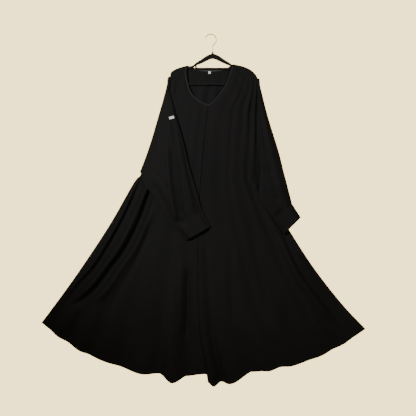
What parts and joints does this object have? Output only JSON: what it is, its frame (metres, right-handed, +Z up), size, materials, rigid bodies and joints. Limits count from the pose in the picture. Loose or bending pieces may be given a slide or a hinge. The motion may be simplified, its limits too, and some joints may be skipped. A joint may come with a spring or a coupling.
{
  "type": "abaya cloak on a clothes hanger",
  "caption": "Full-length black abaya cloak with a V neck, batwing sleeves in cuffs and a flared umbrella skirt, hanging on a slim flocked hanger with a wire hook.",
  "frame": {"origin": "inside of the hook's top, where a rod or nail carries the hanger", "axes": "+Z up along the garment, -Y out of its front, +X to the right of someone who looks at the front"},
  "size_m": [1.542, 0.1014, 1.6656],
  "materials": {
    "cloth": "matte black crepe",
    "binding": "matte black binding",
    "facing": "dark grey facing",
    "label": "bare white woven tape",
    "flock": "black flocking",
    "steel": "dull steel wire"
  },
  "bodies": {
    "root": {"front_left": "cloth", "front_right": "cloth", "back": "cloth", "sleeve_left": "cloth", "sleeve_right": "cloth", "cuff_left": "cloth", "cuff_right": "cloth", "front_placket": "binding", "neck_band": "binding", "back_neck_band": "facing", "neck_label": "label", "sleeve_label": "label", "hanger": "flock", "hanger_hook": "steel"}
  },
  "joints": []
}
